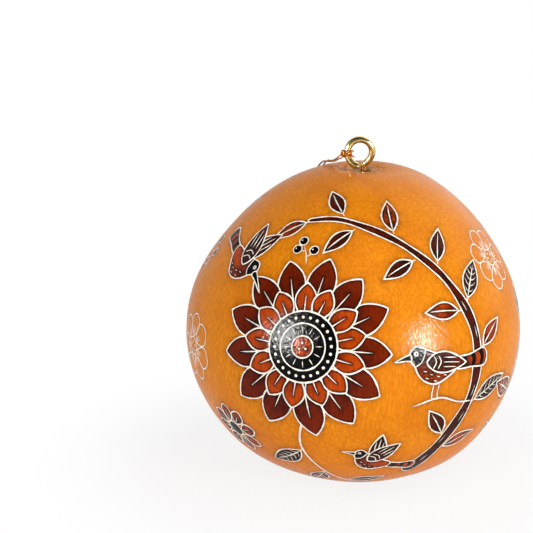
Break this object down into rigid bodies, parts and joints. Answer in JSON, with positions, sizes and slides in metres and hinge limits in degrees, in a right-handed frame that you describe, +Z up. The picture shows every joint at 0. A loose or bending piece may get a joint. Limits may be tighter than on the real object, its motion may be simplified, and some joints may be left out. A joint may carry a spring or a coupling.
{
  "type": "gourd ornament",
  "caption": "Small hollow dried gourd with an engraved and dyed skin, loose seeds inside, a bent wire screw eye in the stem scar and a loop of fine thread to hang it by.",
  "frame": {"origin": "centre of the small flat foot that the gourd stands on", "axes": "+Z up towards the screw eye, -Y to the front, from where the eye is seen as a ring, +X to the right of that view"},
  "size_m": [0.0763, 0.0764, 0.0778],
  "materials": {
    "gourd_skin": "satin varnish over dyed and engraved dried gourd",
    "brass_wire": "polished",
    "metallic_thread": "twisted, slight metallic sheen",
    "dried_seed": "dry, matt"
  },
  "bodies": {
    "gourd": {"gourd_shell": "gourd_skin", "screw_eye": "brass_wire", "seed_01": "dried_seed", "seed_02": "dried_seed", "seed_03": "dried_seed", "seed_04": "dried_seed", "seed_05": "dried_seed", "seed_06": "dried_seed", "seed_07": "dried_seed", "seed_08": "dried_seed", "seed_09": "dried_seed", "seed_10": "dried_seed", "seed_11": "dried_seed", "seed_12": "dried_seed", "seed_13": "dried_seed", "seed_14": "dried_seed", "seed_15": "dried_seed", "seed_16": "dried_seed", "seed_17": "dried_seed", "seed_18": "dried_seed", "seed_19": "dried_seed", "seed_20": "dried_seed", "seed_21": "dried_seed", "seed_22": "dried_seed"},
    "hanger": {"hanger_knot": "metallic_thread", "hanger_loop": "metallic_thread"}
  },
  "joints": [
    {"name": "hanger_slide", "type": "hinge", "parent": "gourd", "child": "hanger", "pos_m": [0.00005, -0.00104, 0.07425], "axis": [-0.0915, 0.9905, -0.1025], "range_deg": [0, 95]}
  ]
}
